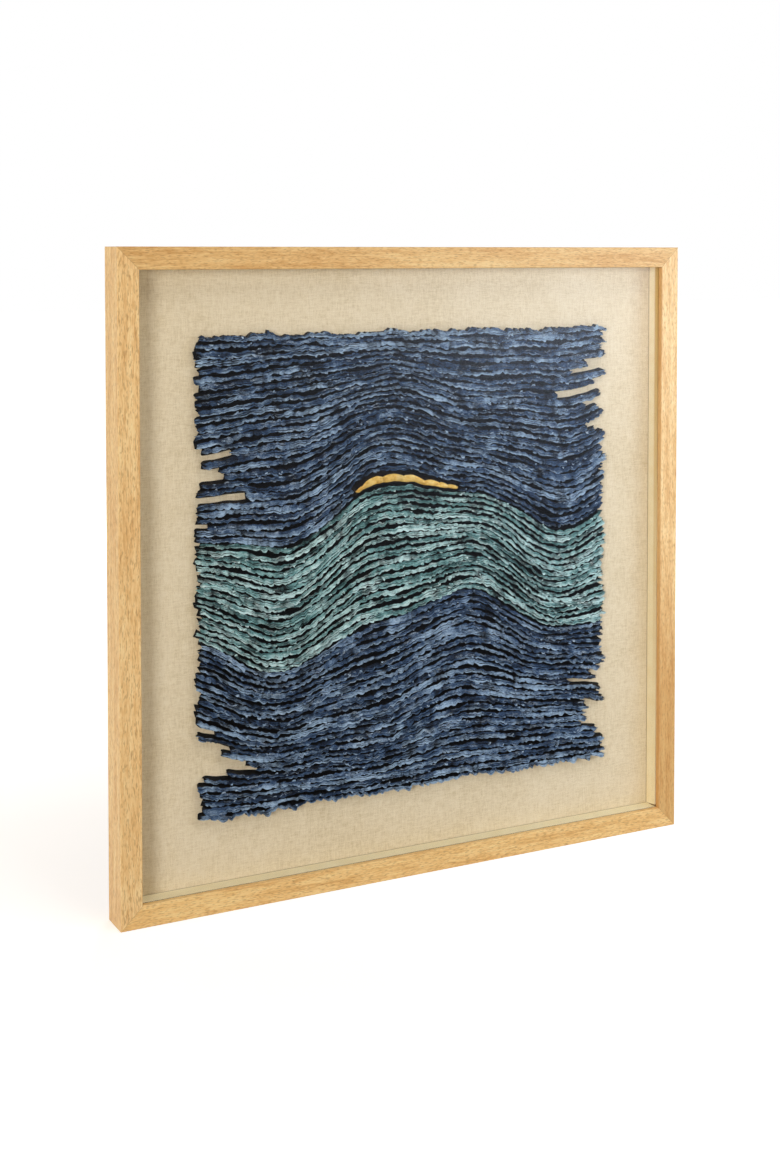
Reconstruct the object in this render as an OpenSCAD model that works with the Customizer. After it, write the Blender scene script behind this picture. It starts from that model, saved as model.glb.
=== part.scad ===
// Shadow box picture: a square wooden frame with a glass front and torn paper strips standing
// on a linen ground. X runs across the picture, Y into the wall and Z up. The origin is at the
// middle of the bottom edge, half way through the depth.

/* [Frame] */
// Outer width of the frame
frame_w = 800; // [500:1:1200]
// Outer height of the frame
frame_h = 800; // [500:1:1200]
// Width of a rail's front face
rail_face = 27; // [22:0.5:45]
// Thickness of the lip in front of the glass
lip_t = 7; // [4:0.5:12]
// Width of the step behind the lip
rabbet_w = 10; // [8:0.5:12]
// Eased corner along the edges of a rail
arris = 0.8; // [0.3:0.1:2]
// Free depth behind the back panel
back_recess = 5.4; // [4:0.1:15]

/* [Filling] */
// Thickness of the glass
glass_t = 2; // [1.5:0.1:4]
// Thickness of the mount board
board_t = 5; // [3:0.5:10]
// Thickness of the linen
linen_t = 0.8; // [0.4:0.1:1.5]
// Linen turned over onto the back of the mount board
turn_in = 30; // [10:1:60]
// Thickness of the back panel
panel_t = 3; // [2:0.5:6]
// Free room round the pieces that lie in the rabbet
fit_gap = 0.5; // [0.2:0.1:1.5]

/* [Paper strips] */
// Bare linen between the frame's opening and the paper
linen_margin = 78; // [40:1:110]
// Height of the tallest strip over the linen
strip_h = 13; // [6:0.5:25]
// Air between the tallest strip and the glass
strip_air = 8; // [3:0.5:20]
// Pairs of neighbouring strips
pair_count = 36; // [20:1:40]
// Height of a wave
wave_h = 36; // [0:1:60]
// Length of a wave
wave_len = 460; // [250:1:900]
// Length of the small ripple that rides on the waves
ripple_len = 190; // [120:1:400]
// How far a torn end may stop short of the paper's edge
end_ragged = 7; // [0:0.5:15]
// How far the shortest strips stop short where the paper opens into fingers
finger_len = 74; // [0:1:120]
// Gap between the gilded strip and the strips that make way for it
gold_gap = 5; // [2:0.5:15]

/* [Fastenings] */
// Length of one wing of a corner nail
nail_wing = 6; // [3:0.5:9]
// Thickness of a corner nail
nail_t = 0.6; // [0.4:0.1:1]
// Depth of a corner nail in the rails
nail_depth = 10; // [6:0.5:14]
// Width of a retaining tab
tab_w = 9; // [5:0.5:15]
// Length of a retaining tab
tab_len = 20; // [12:0.5:30]
// Length of a retaining tab inside its rail
tab_bite = 3; // [2:0.5:3.5]
// Thickness of a retaining tab
tab_t = 0.8; // [0.5:0.1:1.5]
// Length of a hanger
hanger_len = 52; // [45:1:80]
// Width of a hanger
hanger_w = 12; // [11:0.5:14]
// Thickness of a hanger
hanger_t = 1.6; // [1:0.1:2.5]
// Height of the hanger's middle below the top of the frame
hanger_drop = 150; // [90:1:300]
// Diameter of the hole that a wall screw's head passes
keyhole_d = 8; // [6:0.5:9]
// Width of the slot that holds a wall screw's shank
keyslot_w = 4; // [3:0.5:5]
// Rise of the slot's end above the hole
keyslot_rise = 9; // [6:0.5:12]
// Depth for a wall screw's head behind the hanger
head_room = 7; // [4:0.5:10]
// Free room beside a wall screw's head behind the hanger
head_gap = 1; // [0.5:0.1:1.5]
// Diameter of a hanger screw's shank
screw_d = 3; // [2:0.1:4]
// Diameter of a hanger screw's head
screw_head_d = 6; // [5:0.1:8]
// Length of a hanger screw
screw_len = 14; // [10:0.5:18]
// Free room round a hanger and its screws
hanger_gap = 0.1; // [0.05:0.05:0.3]

/* [Hidden] */
overrun = 1;
full_turn = 360;
half_turn = 180;
round_faces = 48;

// Depths, from the front of the frame to its back
spacer_d = strip_h + strip_air;
frame_d = lip_t + glass_t + spacer_d + linen_t + board_t + linen_t + panel_t + back_recess;
front_y = -frame_d / 2;
back_y = frame_d / 2;
glass_y = front_y + lip_t;
spacer_y = glass_y + glass_t;
linen_y = spacer_y + spacer_d;
board_y = linen_y + linen_t;
turn_y = board_y + board_t;
panel_y = turn_y + linen_t;
tab_y = panel_y + panel_t;

// Widths and heights of what lies in the rabbet
mid_z = frame_h / 2;
wall_t = rail_face - rabbet_w;
open_w = frame_w - 2 * rail_face;
open_h = frame_h - 2 * rail_face;
rabbet_span_w = frame_w - 2 * wall_t;
rabbet_span_h = frame_h - 2 * wall_t;
pane_w = rabbet_span_w - 2 * fit_gap;
pane_h = rabbet_span_h - 2 * fit_gap;
spacer_t = rabbet_w - fit_gap;
board_w = pane_w - 2 * linen_t;
board_h = pane_h - 2 * linen_t;

// Places along a side, from its middle, for the tabs that hold the back panel
tab_place_shares = [-0.38, 0, 0.38];
// Places of a hanger's two screws, from its middle
screw_place_shares = [-0.36, 0.36];
// The keyhole's round end lies this far below the hanger's middle
keyhole_low_share = 0.08;

// The paper
art_w = open_w - 2 * linen_margin;
art_h = open_h - 2 * linen_margin;
art_z = mid_z - art_h / 2;
lane_count = 2 * pair_count;
stations = 20;
// Where the teal band begins and ends, up the paper
teal_from_share = 0.36;
teal_to_share = 0.61;
// How much of its lane a strip fills, and how much its torn edges vary that
land_share = 0.84;
tear_share = 0.14;
// A torn end is this much narrower than the strip
tip_share = 0.45;
// The bend next to a torn end keeps this much of a step away from it
end_room_share = 0.3;
// The lowest strip is this much lower than the tallest
low_share = 0.28;
// How the waves drift sideways from the foot of the paper to its top, in turns
wave_drift_share = 0.4;
ripple_drift_share = 0.7;
ripple_share = 0.25;
// Places up the paper where it opens into fingers, and how far a place reaches
left_finger_shares = [0.1, 0.72];
right_finger_shares = [0.14, 0.86];
finger_reach_share = 0.1;
// The gilded strip: where it begins and ends across the paper, its width in lanes and its height
gold_from_share = 0.36;
gold_to_share = 0.61;
gold_lane_share = 1.3;
gold_low_share = 0.12;
gold_round_power = 6;
// Each strip has its own run of chance values
left_seed = 100;
right_seed = 300;
height_seed = 500;
tear_seed = 700;

wood = "burlywood";
blue = "steelblue";
teal = "cadetblue";

gold_pair = ceil(teal_to_share * pair_count);

function is_teal(pair) = pair >= teal_from_share * pair_count && pair < teal_to_share * pair_count;
function teal_before(pair) = len([for (k = [0:1:pair - 1]) if (is_teal(k)) k]);
function two_digits(number) = number < 10 ? str("0", number) : str(number);
function strip_name(pair) =
    is_teal(pair)
        ? str("teal_strips_", two_digits(teal_before(pair) + 1))
        : str("blue_strips_", two_digits(pair - teal_before(pair) + 1));

// A flat shape in X and Z, drawn from y over a depth
module slab(y, depth) {
    translate([0, y + depth, 0])
        rotate([90, 0, 0])
            linear_extrude(height = depth)
                children();
}

// A centred rectangle of the picture's plane
module sheet(width, height) {
    translate([-width / 2, mid_z - height / 2])
        square([width, height]);
}

// Frame

// Section of a rail, with the outer edge at 0 and the inner edge at rail_face
module rail_section() {
    lip_y = front_y + lip_t;
    polygon([
        [front_y + arris, 0],
        [back_y - arris, 0],
        [back_y, arris],
        [back_y, wall_t],
        [lip_y, wall_t],
        [lip_y, rail_face],
        [front_y + arris, rail_face],
        [front_y, rail_face - arris],
        [front_y, arris]
    ]);
}

// A rail that lies along X on its outer edge, with its ends cut at 45 degrees
module mitred_rail(length) {
    intersection() {
        translate([-length / 2, 0, 0])
            rotate([90, 0, 90])
                linear_extrude(height = length)
                    rail_section();
        slab(front_y - overrun, frame_d + 2 * overrun)
            polygon([
                [-length / 2, 0],
                [length / 2, 0],
                [length / 2 - rail_face, rail_face],
                [-length / 2 + rail_face, rail_face]
            ]);
    }
}

// What is let into the back of the rails
module rail_cuts() {
    corner_nails();
    retaining_tabs();
    for (side = [-1, 1])
        hanger_pocket(side);
}

module frame_rail_bottom() {
    color(wood)
        difference() {
            mitred_rail(frame_w);
            rail_cuts();
        }
}

module frame_rail_top() {
    color(wood)
        difference() {
            translate([0, 0, frame_h])
                rotate([0, 180, 0])
                    mitred_rail(frame_w);
            rail_cuts();
        }
}

module frame_rail_left() {
    color(wood)
        difference() {
            translate([-frame_w / 2, 0, mid_z])
                rotate([0, 90, 0])
                    mitred_rail(frame_h);
            rail_cuts();
        }
}

module frame_rail_right() {
    color(wood)
        difference() {
            translate([frame_w / 2, 0, mid_z])
                rotate([0, -90, 0])
                    mitred_rail(frame_h);
            rail_cuts();
        }
}

// Filling

module glass_pane() {
    color("lightcyan", 0.3)
        slab(glass_y, glass_t)
            sheet(pane_w, pane_h);
}

// A strip between the glass and the linen, its inner face flush with the lip
module spacer(centre_x, centre_z, width, height) {
    color("khaki")
        slab(spacer_y, spacer_d)
            translate([centre_x - width / 2, centre_z - height / 2])
                square([width, height]);
}

module spacer_top() {
    spacer(0, mid_z + (pane_h - spacer_t) / 2, pane_w, spacer_t);
}

module spacer_bottom() {
    spacer(0, mid_z - (pane_h - spacer_t) / 2, pane_w, spacer_t);
}

module spacer_left() {
    spacer(-(pane_w - spacer_t) / 2, mid_z, spacer_t, pane_h - 2 * spacer_t);
}

module spacer_right() {
    spacer((pane_w - spacer_t) / 2, mid_z, spacer_t, pane_h - 2 * spacer_t);
}

module mount_board() {
    color("white")
        slab(board_y, board_t)
            sheet(board_w, board_h);
}

// Linen stretched over the front and the edges of the board and turned in behind it
module linen_cover() {
    color("wheat")
        difference() {
            slab(linen_y, panel_y - linen_y)
                sheet(pane_w, pane_h);
            slab(board_y, board_t)
                sheet(board_w, board_h);
            slab(turn_y - overrun, linen_t + 2 * overrun)
                sheet(board_w - 2 * turn_in, board_h - 2 * turn_in);
        }
}

module back_panel() {
    color("sienna")
        slab(panel_y, panel_t)
            sheet(pane_w, pane_h);
}

// Fastenings

// A bent steel nail across one mitre, driven in from the back
module corner_nail(side_x, side_z) {
    edge = wall_t / 2;
    thick = nail_t / sqrt(2);
    translate([side_x * (frame_w / 2 - edge), 0, mid_z + side_z * (frame_h / 2 - edge)])
        mirror([side_x < 0 ? 1 : 0, 0, 0])
            mirror([0, 0, side_z < 0 ? 1 : 0])
                slab(back_y - nail_depth, nail_depth)
                    polygon([
                        [thick, thick],
                        [thick - nail_wing, thick],
                        [thick - nail_wing, thick - nail_t],
                        [thick - nail_t, thick - nail_t],
                        [thick - nail_t, thick - nail_wing],
                        [thick, thick - nail_wing]
                    ]);
}

module corner_nails() {
    color("silver")
        for (side_x = [-1, 1])
            for (side_z = [-1, 1])
                corner_nail(side_x, side_z);
}

// A row of flat tabs along one side, half in the rail and half over the back panel
module tab_row(length, span) {
    for (share = tab_place_shares)
        translate([share * length - tab_w / 2, span / 2 + tab_bite - tab_len])
            square([tab_w, tab_len]);
}

module retaining_tabs() {
    color("gray")
        slab(tab_y, tab_t)
            translate([0, mid_z])
                for (quarter = [0:3])
                    rotate(quarter * 90)
                        if (quarter % 2 == 0)
                            tab_row(rabbet_span_w, rabbet_span_h);
                        else
                            tab_row(rabbet_span_h, rabbet_span_w);
}

// The hangers stand upright in the middle of the side rails' backs
module at_hanger(side) {
    translate([side * (frame_w - wall_t) / 2, back_y, frame_h - hanger_drop])
        children();
}

// A plate with round ends, grown on every side by a gap
module hanger_outline(gap) {
    straight = hanger_len - hanger_w;
    for (end = [-1, 1])
        translate([0, end * straight / 2])
            circle(d = hanger_w + 2 * gap, $fn = round_faces);
    translate([-hanger_w / 2 - gap, -straight / 2])
        square([hanger_w + 2 * gap, straight]);
}

// A round hole with a slot that rises from it
module keyhole(hole_d, slot_w) {
    translate([0, -keyhole_low_share * hanger_len]) {
        circle(d = hole_d, $fn = round_faces);
        translate([-slot_w / 2, 0])
            square([slot_w, keyslot_rise]);
        translate([0, keyslot_rise])
            circle(d = slot_w, $fn = round_faces);
    }
}

// A countersunk screw that points into the rail, grown by a gap
module hanger_screw(gap) {
    head_r = screw_head_d / 2 + gap;
    shank_r = screw_d / 2 + gap;
    rotate([90, 0, 0])
        rotate_extrude($fn = round_faces)
            polygon([
                [0, 0],
                [head_r, 0],
                [shank_r, head_r - shank_r],
                [shank_r, screw_len - screw_d / 2],
                [0, screw_len + gap]
            ]);
}

module hanger_screw_places() {
    for (share = screw_place_shares)
        translate([0, 0, share * hanger_len])
            children();
}

module hanger_plate(side) {
    color("silver")
        at_hanger(side)
            difference() {
                slab(-hanger_t, hanger_t)
                    difference() {
                        hanger_outline(0);
                        keyhole(keyhole_d, keyslot_w);
                    }
                hanger_screw_places()
                    hanger_screw(hanger_gap);
            }
}

module hanger_left() {
    hanger_plate(-1);
}

module hanger_right() {
    hanger_plate(1);
}

module hanger_screws() {
    color("dimgray")
        for (side = [-1, 1])
            at_hanger(side)
                hanger_screw_places()
                    hanger_screw(0);
}

// The seat of a hanger, its screw holes and the room for a wall screw's head
module hanger_pocket(side) {
    at_hanger(side) {
        slab(-hanger_t, hanger_t + overrun)
            hanger_outline(hanger_gap);
        slab(-hanger_t - head_room, head_room + overrun)
            keyhole(keyhole_d + 2 * head_gap, keyhole_d + 2 * head_gap);
        hanger_screw_places()
            hanger_screw(hanger_gap);
    }
}

// Paper strips

// Height of the wave pattern up the paper at a lane and a place across
function swell(up_share, x) =
    sin(full_turn * (x / wave_len + wave_drift_share * up_share))
        + ripple_share * sin(full_turn * (x / ripple_len - ripple_drift_share * up_share));

function flow(lane, x) =
    let (up_share = lane / lane_count)
    art_z + art_h * up_share + wave_h * sin(half_turn * up_share) * swell(up_share, x);

// One chance value from 0 to 1 for a lane
function chance(seed, lane) = rands(0, 1, 1, seed + lane)[0];

// How strongly a lane belongs to the places where the paper opens into fingers
function finger(lane, place_shares) =
    max([for (place = place_shares)
        max(0, 1 - pow((lane / lane_count - place) / finger_reach_share, 2))]);

function short_end(lane, seed, place_shares) =
    let (luck = chance(seed, lane))
    end_ragged * luck + finger_len * finger(lane, place_shares) * pow(luck, 2);

function left_end(lane) = -art_w / 2 + short_end(lane, left_seed, left_finger_shares);
function right_end(lane) = art_w / 2 - short_end(lane, right_seed, right_finger_shares);
function strip_top(lane) = strip_h * (1 - low_share * chance(height_seed, lane));

// A point of a torn edge, from the lane's middle towards a side
function edge_point(lane, side, x, width_share) =
    [x, flow(lane + 1 / 2 + side * land_share / 2 * width_share, x)];

// The torn edges of all strips bend at the same places across the paper, so none meets its neighbour
station_step = art_w / (stations - 1);
function station_x(k) = k * station_step - art_w / 2;

// One torn edge, narrower at both ends
function torn_edge(lane, side, from_x, to_x, seed) =
    let (
        tears = rands(-1, 1, stations, seed),
        room = end_room_share * station_step,
        between = [for (k = [0:stations - 1])
            if (station_x(k) > from_x + room && station_x(k) < to_x - room) k]
    )
    concat(
        [edge_point(lane, side, from_x, 1 - tip_share)],
        [for (k = between) edge_point(lane, side, station_x(k), 1 + tear_share * tears[k])],
        [edge_point(lane, side, to_x, 1 - tip_share)]
    );

function backwards(points) = [for (k = [len(points) - 1:-1:0]) points[k]];

// A strip of torn paper standing on the linen along its lane
module strip(lane, from_x, to_x) {
    top = strip_top(lane);
    slab(linen_y - top, top)
        polygon(concat(
            torn_edge(lane, -1, from_x, to_x, tear_seed + 2 * lane),
            backwards(torn_edge(lane, 1, from_x, to_x, tear_seed + 2 * lane + 1))
        ));
}

gold_from_x = art_w * (gold_from_share - 1 / 2);
gold_to_x = art_w * (gold_to_share - 1 / 2);

module strip_pair(pair) {
    color(is_teal(pair) ? teal : blue)
        for (lane = [2 * pair, 2 * pair + 1])
            if (pair == gold_pair) {
                strip(lane, left_end(lane), gold_from_x - gold_gap);
                strip(lane, gold_to_x + gold_gap, right_end(lane));
            } else {
                strip(lane, left_end(lane), right_end(lane));
            }
}

// One edge of the gilded strip, with rounded ends
function gold_edge(side) =
    let (last = stations - 1)
    [for (k = [0:last])
        let (
            along = 2 * k / last - 1,
            x = (gold_from_x + gold_to_x + along * (gold_to_x - gold_from_x)) / 2,
            half_land = gold_lane_share / 2 * (1 - pow(along, gold_round_power) / 2)
        )
        [x, flow(2 * gold_pair + 1 + side * half_land, x)]];

module gold_strip() {
    top = strip_h * (1 - gold_low_share);
    color("gold")
        slab(linen_y - top, top)
            polygon(concat(gold_edge(-1), backwards(gold_edge(1))));
}

frame_rail_top();
frame_rail_bottom();
frame_rail_left();
frame_rail_right();
glass_pane();
spacer_top();
spacer_bottom();
spacer_left();
spacer_right();
mount_board();
linen_cover();
back_panel();
corner_nails();
retaining_tabs();
hanger_left();
hanger_right();
hanger_screws();
gold_strip();
for (k = [0:pair_count - 1])
    strip_pair(k);
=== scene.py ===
"""Dresses a paper shadow box: wooden rails, glazing, linen ground, torn paper relief and back."""

import logging
import math
from dataclasses import dataclass, replace
from enum import Enum
from typing import Any, Optional, Sequence, Union

import bpy
import numpy as np
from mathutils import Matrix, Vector


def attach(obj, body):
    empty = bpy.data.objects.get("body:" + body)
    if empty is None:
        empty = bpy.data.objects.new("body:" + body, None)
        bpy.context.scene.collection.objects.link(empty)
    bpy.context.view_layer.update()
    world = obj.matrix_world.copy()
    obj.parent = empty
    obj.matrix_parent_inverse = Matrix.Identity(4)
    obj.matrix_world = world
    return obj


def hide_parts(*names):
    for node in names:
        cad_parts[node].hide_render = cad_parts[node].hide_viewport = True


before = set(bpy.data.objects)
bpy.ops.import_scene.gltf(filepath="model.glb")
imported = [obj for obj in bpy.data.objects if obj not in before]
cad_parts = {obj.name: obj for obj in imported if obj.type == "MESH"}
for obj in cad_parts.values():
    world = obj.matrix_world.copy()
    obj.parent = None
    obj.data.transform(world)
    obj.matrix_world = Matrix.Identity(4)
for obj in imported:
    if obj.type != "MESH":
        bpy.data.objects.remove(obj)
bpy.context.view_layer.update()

LOG = logging.getLogger("shadow_box")
MM = 0.001
WHITE = (1.0, 1.0, 1.0, 1.0)
# The stretch that holds nearly all of a cloudy pattern's values.
CLOUD = (0.3, 0.7)
# The strips' layer of marks, which the paper and the leaf read.
TEAR = "tear"

Socket = bpy.types.NodeSocket
Material = bpy.types.Material
Colour = tuple[float, float, float, float]
Triple = tuple[float, float, float]
Pair = tuple[float, float]
Swings = tuple[Pair, ...]
Feed = Union[Socket, float, Colour, Triple]
FourArrays = tuple[np.ndarray, np.ndarray, np.ndarray, np.ndarray]


def tint(red: int, green: int, blue: int) -> Colour:
    """Turn a paint maker's colour, 0 to 255 a channel, into linear light.

    Args:
        red: Red as it shows on a screen.
        green: Green as it shows on a screen.
        blue: Blue as it shows on a screen.

    Returns:
        The linear colour with full cover.
    """

    def channel(value: int) -> float:
        """Undo the screen's curve for one channel."""
        share = value / 255
        return share / 12.92 if share <= 0.04045 else ((share + 0.055) / 1.055) ** 2.4

    return channel(red), channel(green), channel(blue), 1.0


class Recipe:
    """One finish's node material, mixed a step at a time."""

    def __init__(self, name: str) -> None:
        """Start an empty material under a finish's name."""
        self.material = bpy.data.materials.new(name)
        self.open(self.material, "ShaderNodeOutputMaterial", "Object")

    def open(self, owner: bpy.types.ID, output: str, place: str) -> None:
        """Clear the nodes of a material or a room.

        Args:
            owner: What the nodes belong to.
            output: The type of its output node.
            place: The coordinates that its patterns are read at.
        """
        owner.use_nodes = True
        self.tree = owner.node_tree
        self.tree.nodes.clear()
        self.output = self.node(output)
        self.place = self.node("ShaderNodeTexCoord").outputs[place]

    def node(self, kind: str, **settings: Any) -> bpy.types.Node:
        """Add a node.

        Args:
            kind: The node's type.
            settings: Node properties to set.

        Returns:
            The new node.
        """
        made = self.tree.nodes.new(kind)
        for key, value in settings.items():
            setattr(made, key, value)
        return made

    def feed(self, socket: Socket, value: Feed) -> None:
        """Link a socket into another, or set a plain value on it.

        Args:
            socket: The socket that is fed.
            value: What it gets.
        """
        if isinstance(value, Socket):
            self.tree.links.new(value, socket)
        else:
            socket.default_value = value

    def fill(self, node: bpy.types.Node, **values: Feed) -> None:
        """Feed a node's sockets.

        Args:
            node: The node.
            values: Its sockets by name, with underscores for spaces.
        """
        for key, value in values.items():
            self.feed(node.inputs[key.replace("_", " ")], value)

    def along(self, axis: str) -> Socket:
        """Read how far along one axis the place lies.

        Args:
            axis: X, Y or Z.

        Returns:
            The distance, in metres, or for a room the direction's share.
        """
        split = self.node("ShaderNodeSeparateXYZ")
        self.fill(split, Vector=self.place)
        return split.outputs[axis]

    def noise(
        self,
        scale: Triple,
        detail: float = 3.0,
        roughness: float = 0.55,
        distortion: float = 0.0,
        shift: Triple = (0.0, 0.0, 0.0),
    ) -> Socket:
        """Add a cloudy pattern, which lies along one direction where its scale is uneven.

        Args:
            scale: Clouds for a metre along X, Y and Z.
            detail: Number of finer layers.
            roughness: Strength of the finer layers.
            distortion: How far the clouds swirl.
            shift: Where the pattern starts.

        Returns:
            The pattern, about 0 to 1.
        """
        mapping = self.node("ShaderNodeMapping")
        self.fill(mapping, Vector=self.place, Scale=scale, Location=shift)
        made = self.node("ShaderNodeTexNoise")
        self.fill(made, Vector=mapping.outputs["Vector"], Scale=1.0)
        self.fill(made, Detail=detail, Roughness=roughness, Distortion=distortion)
        return made.outputs["Fac"]

    def ramp(self, factor: Feed, stops: Sequence[float], colours: Sequence[Colour]) -> Socket:
        """Turn a pattern into colours.

        Args:
            factor: The pattern.
            stops: Places along it, lowest first.
            colours: The colour at each.

        Returns:
            The colour.
        """
        made = self.node("ShaderNodeValToRGB")
        self.fill(made, Fac=factor)
        elements = made.color_ramp.elements
        while len(elements) < len(stops):
            elements.new(1.0)
        for element, stop, colour in zip(elements, stops, colours):
            element.position = stop
            element.color = colour
        return made.outputs["Color"]

    def span(
        self, value: Feed, low: float, high: float, to_low: float = 0.0, to_high: float = 1.0
    ) -> Socket:
        """Stretch a stretch of a pattern over another, and hold it at the ends.

        Args:
            value: The pattern.
            low: Where the stretch begins.
            high: Where it ends.
            to_low: What low becomes.
            to_high: What high becomes.

        Returns:
            The stretched pattern.
        """
        made = self.node("ShaderNodeMapRange")
        self.fill(made, Value=value, From_Min=low, From_Max=high, To_Min=to_low, To_Max=to_high)
        return made.outputs["Result"]

    def count(self, operation: str, first: Feed, second: Feed = 0.0) -> Socket:
        """Do one sum with patterns.

        Args:
            operation: The sum's name on its node.
            first: Its first term.
            second: Its second term.

        Returns:
            The result.
        """
        made = self.node("ShaderNodeMath", operation=operation)
        self.feed(made.inputs[0], first)
        self.feed(made.inputs[1], second)
        return made.outputs[0]

    def total(self, *terms: tuple[Feed, float]) -> Socket:
        """Add patterns up.

        Args:
            terms: Each pattern with its weight.

        Returns:
            The sum.
        """
        so_far = self.count("MULTIPLY", *terms[0])
        for term in terms[1:]:
            so_far = self.count("ADD", so_far, self.count("MULTIPLY", *term))
        return so_far

    def blend(self, factor: Feed, first: Feed, second: Feed) -> Socket:
        """Lay one colour over another.

        Args:
            factor: How much of the second shows.
            first: The colour below.
            second: The colour on top.

        Returns:
            The colour that shows.
        """
        made = self.node("ShaderNodeMix", data_type="RGBA")
        for place, value in ((0, factor), (6, first), (7, second)):
            self.feed(made.inputs[place], value)
        return made.outputs[2]

    def bump(
        self, height: Socket, strength: float, distance: float, under: Optional[Socket] = None
    ) -> Socket:
        """Raise a fine relief.

        Args:
            height: The relief's pattern.
            strength: How much of it shows.
            distance: Its height in metres.
            under: A coarser relief that it lies on.

        Returns:
            The surface's direction.
        """
        made = self.node("ShaderNodeBump")
        self.fill(made, Strength=strength, Distance=distance, Height=height)
        if under is not None:
            self.fill(made, Normal=under)
        return made.outputs["Normal"]

    def marks(self) -> tuple[Socket, ...]:
        """Read a torn strip's three marks: its face, which also carries painted shade, its tone,
        which also carries painted light, and its fray.
        """
        split = self.node("ShaderNodeSeparateColor")
        layer = self.node("ShaderNodeAttribute", attribute_name=TEAR)
        self.fill(split, Color=layer.outputs["Color"])
        return tuple(split.outputs)

    def surface(self, **values: Feed) -> Material:
        """Close the recipe with one surface.

        Args:
            values: Surface sockets by name, with underscores for spaces.

        Returns:
            The finished material.
        """
        shader = self.node("ShaderNodeBsdfPrincipled")
        self.fill(shader, **values)
        self.fill(self.output, Surface=shader.outputs["BSDF"])
        return self.material

    def layers(self, factor: Feed, first: Socket, second: Socket) -> None:
        """Close the recipe with one shader over another.

        Args:
            factor: How much of the second shows.
            first: The shader below.
            second: The shader on top.
        """
        mix = self.node("ShaderNodeMixShader")
        for place, value in enumerate((factor, first, second)):
            self.feed(mix.inputs[place], value)
        self.fill(self.output, Surface=mix.outputs["Shader"])


class RoomRecipe(Recipe):
    """The mix of the room round the part, read by direction."""

    def __init__(self, name: str) -> None:
        """Start an empty room under a name."""
        self.room = bpy.data.worlds.new(name)
        self.open(self.room, "ShaderNodeOutputWorld", "Generated")


class GrainRun(Enum):
    """Which way a rail's grain runs."""

    ACROSS = "across"
    UPRIGHT = "upright"


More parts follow.
